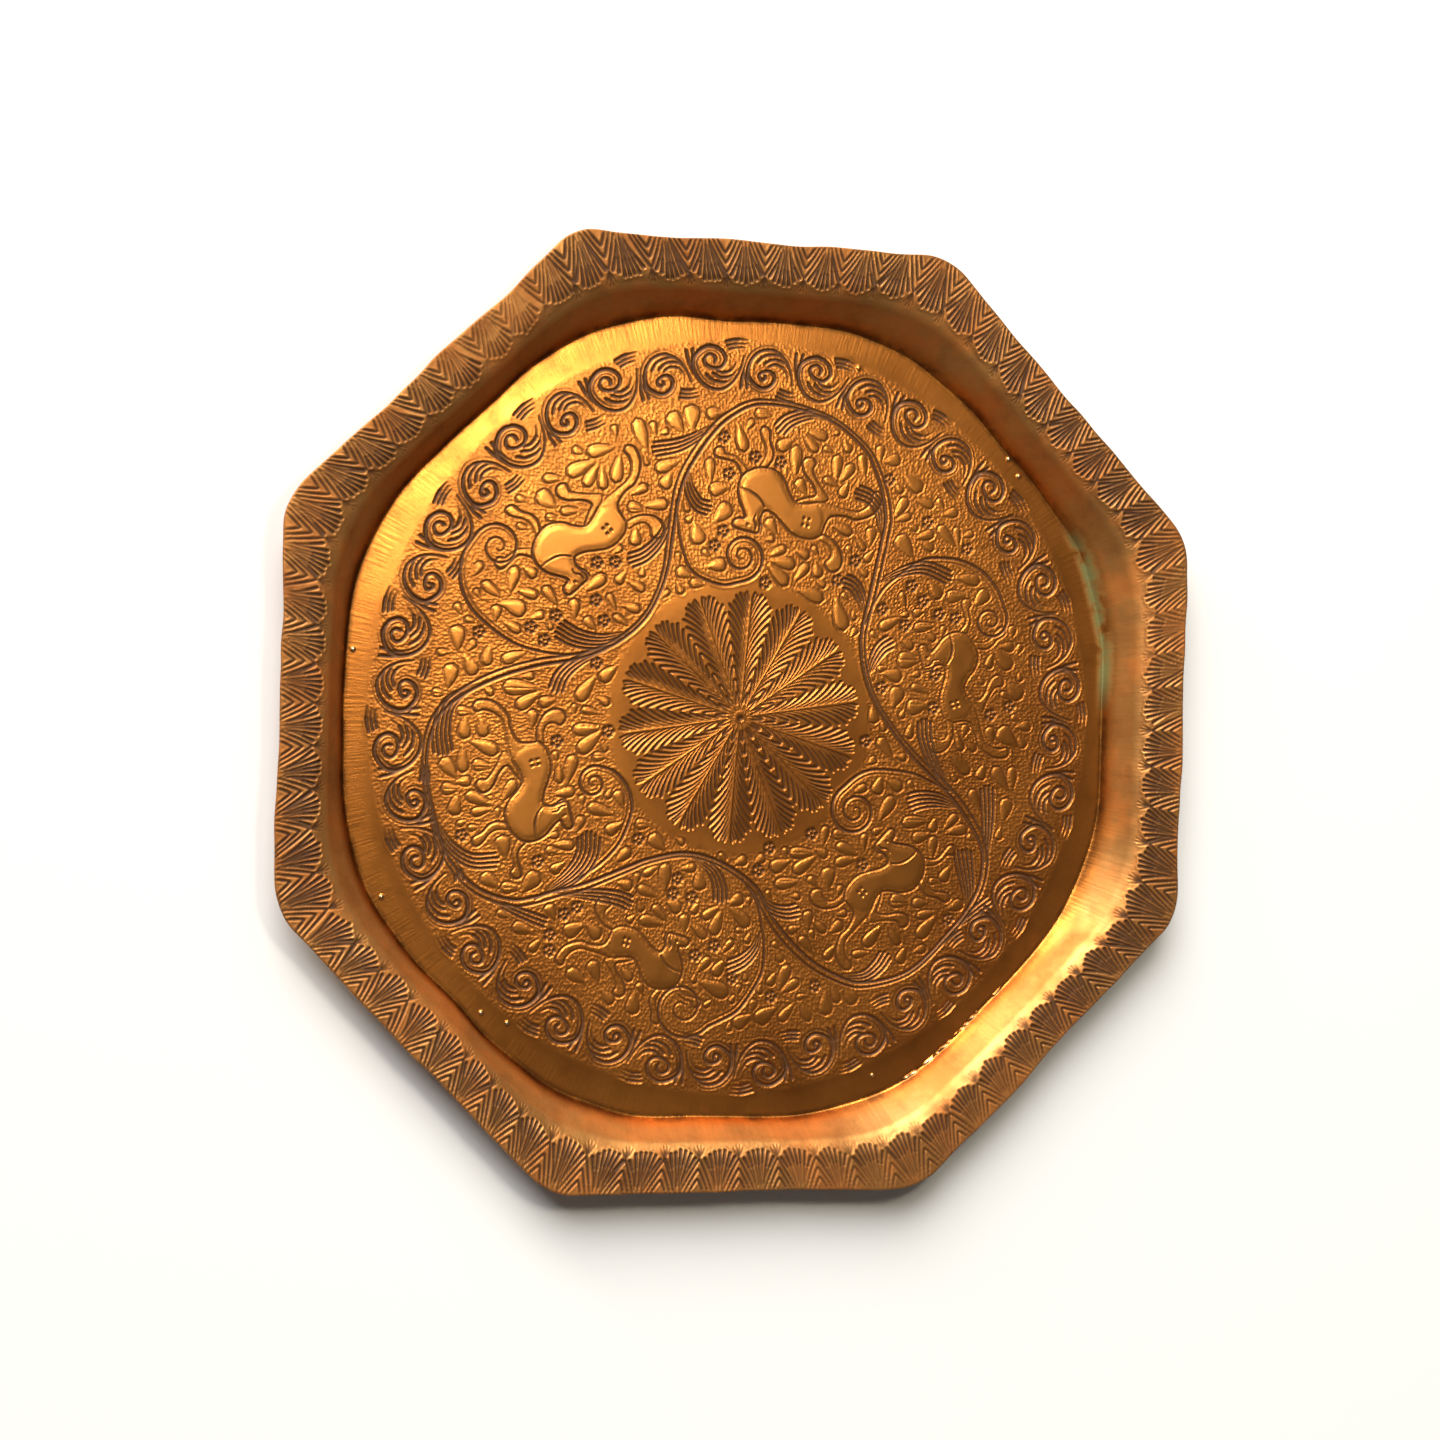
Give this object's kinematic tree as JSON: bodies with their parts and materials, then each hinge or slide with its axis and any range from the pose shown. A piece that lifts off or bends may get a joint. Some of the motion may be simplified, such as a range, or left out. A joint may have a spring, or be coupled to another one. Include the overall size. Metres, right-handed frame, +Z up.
{
  "type": "hammered copper tray",
  "caption": "Shallow eight-sided tray of hammered copper sheet, with a nearly round chased floor, a steep wall and a flat chased rim.",
  "frame": {"origin": "middle of the floor's underside, on the surface that the tray stands on", "axes": "+Z up, out of the well; +X and +Y each through the middle of a straight side of the rim"},
  "size_m": [0.33, 0.33, 0.0155],
  "materials": {
    "copper": "hammered and chased copper, worn smooth on the high places and darkened in the grooves"
  },
  "bodies": {
    "root": {"tray_sheet": "copper"}
  },
  "joints": []
}
